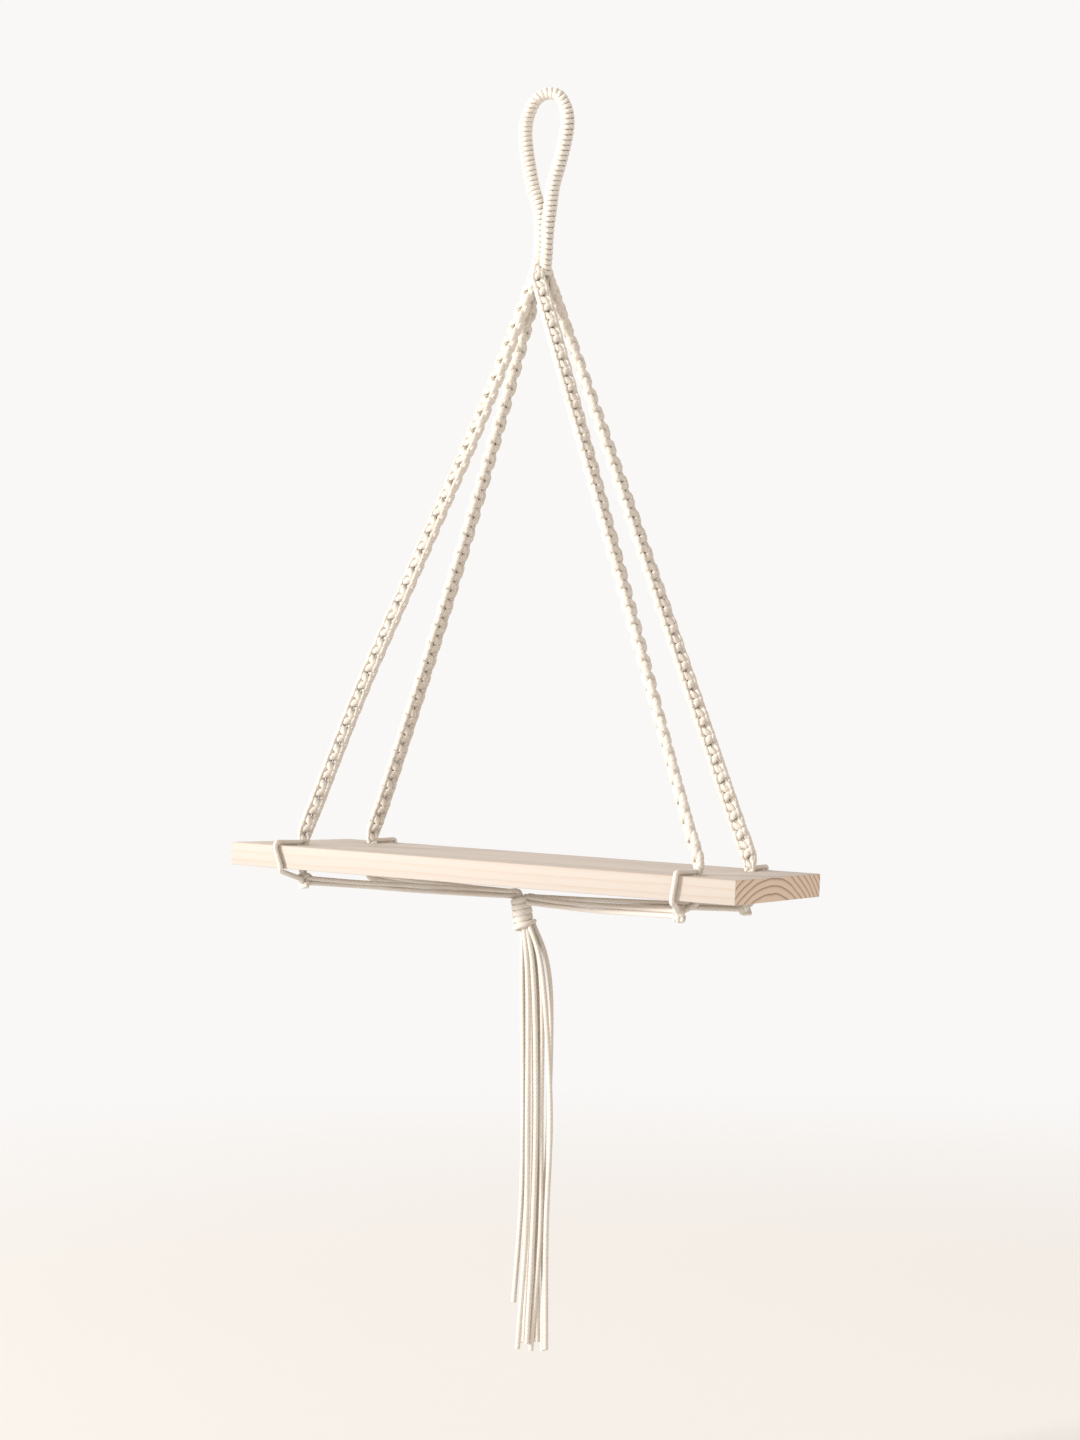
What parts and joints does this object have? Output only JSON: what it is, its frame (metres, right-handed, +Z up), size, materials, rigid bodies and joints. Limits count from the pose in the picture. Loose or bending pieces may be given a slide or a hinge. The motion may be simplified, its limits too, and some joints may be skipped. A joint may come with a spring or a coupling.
{
  "type": "macrame wall shelf",
  "caption": "Hanging wall shelf: a pine board held by knotted cotton cord chains that meet in a wrapped loop, with a long cord tassel below.",
  "frame": {"origin": "the point inside the top of the hanging loop where a nail or hook carries it", "axes": "+Z up, +X to the right along the wall, +Y into the wall"},
  "size_m": [0.4573, 0.192, 1.0799],
  "materials": {
    "pine": "bare, sanded smooth, end grain darker",
    "cotton_cord": "undyed twisted cotton cord, matt"
  },
  "bodies": {
    "root": {"board": "pine", "hanging_loop": "cotton_cord", "tassel": "cotton_cord", "chain_front_left": "cotton_cord", "runner_front_left": "cotton_cord", "strap_front_left": "cotton_cord", "tie_front_left": "cotton_cord", "chain_front_right": "cotton_cord", "runner_front_right": "cotton_cord", "strap_front_right": "cotton_cord", "tie_front_right": "cotton_cord", "chain_back_left": "cotton_cord", "runner_back_left": "cotton_cord", "strap_back_left": "cotton_cord", "tie_back_left": "cotton_cord", "chain_back_right": "cotton_cord", "runner_back_right": "cotton_cord", "strap_back_right": "cotton_cord", "tie_back_right": "cotton_cord"}
  },
  "joints": []
}
